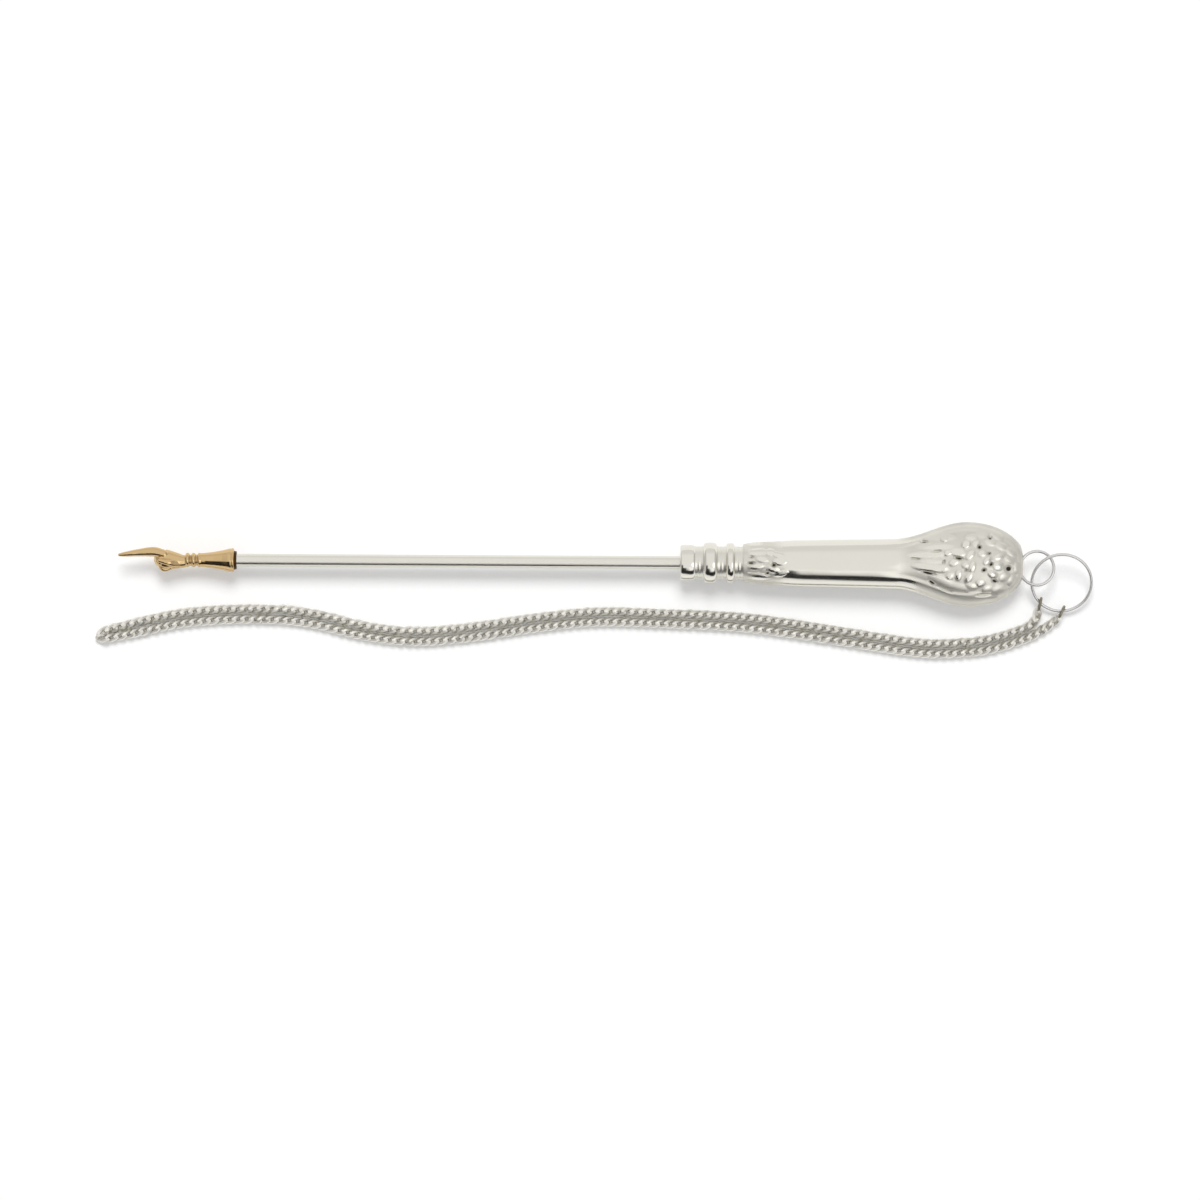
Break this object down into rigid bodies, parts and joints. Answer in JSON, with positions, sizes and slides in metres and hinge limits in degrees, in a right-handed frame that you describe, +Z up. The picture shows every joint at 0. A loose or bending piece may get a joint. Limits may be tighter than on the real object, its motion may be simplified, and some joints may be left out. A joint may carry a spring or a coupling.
{
  "type": "yad torah pointer",
  "caption": "Torah pointer lying on a table: gilt hand with outstretched finger, plain silver rod, hollow silver handle with flower relief, wire rings and a doubled curb chain.",
  "frame": {"origin": "on the table, under the pointer's axis, half way between the fingertip and the far side of the terminal ring", "axes": "+X along the pointer from the finger to the handle's end, +Y towards the back of the hand, +Z up from the table"},
  "size_m": [0.2245, 0.0307, 0.0095],
  "materials": {
    "gilt": "polished gilding",
    "silver": "polished silver",
    "ring_wire": "drawn silver wire",
    "chain_silver": "worn silver",
    "cement": "set filling compound"
  },
  "bodies": {
    "pointer": {"pointing_hand": "gilt", "rod": "silver", "ferrule": "silver", "handle_front_shell": "silver", "handle_back_shell": "silver", "handle_filler": "cement", "terminal_ring": "ring_wire"},
    "ring": {"chain_ring": "ring_wire", "chain_end_link_left": "chain_silver", "chain_end_link_right": "chain_silver", "chain_lead_left": "chain_silver", "chain_lead_right": "chain_silver"},
    "chain": {"chain_strand_upper": "chain_silver", "chain_strand_lower": "chain_silver", "chain_fold": "chain_silver"}
  },
  "joints": [
    {"name": "ring_turn", "type": "hinge", "parent": "pointer", "child": "ring", "pos_m": [0.10111, -0.00075, 0.0046], "axis": [0, 0, 1], "range_deg": [0, 80]},
    {"name": "chain_lift", "type": "hinge", "parent": "ring", "child": "chain", "pos_m": [0.1016, -0.0143, 0.00113], "axis": [-0.359, 0.9333, 0], "range_deg": [0, 60]}
  ]
}
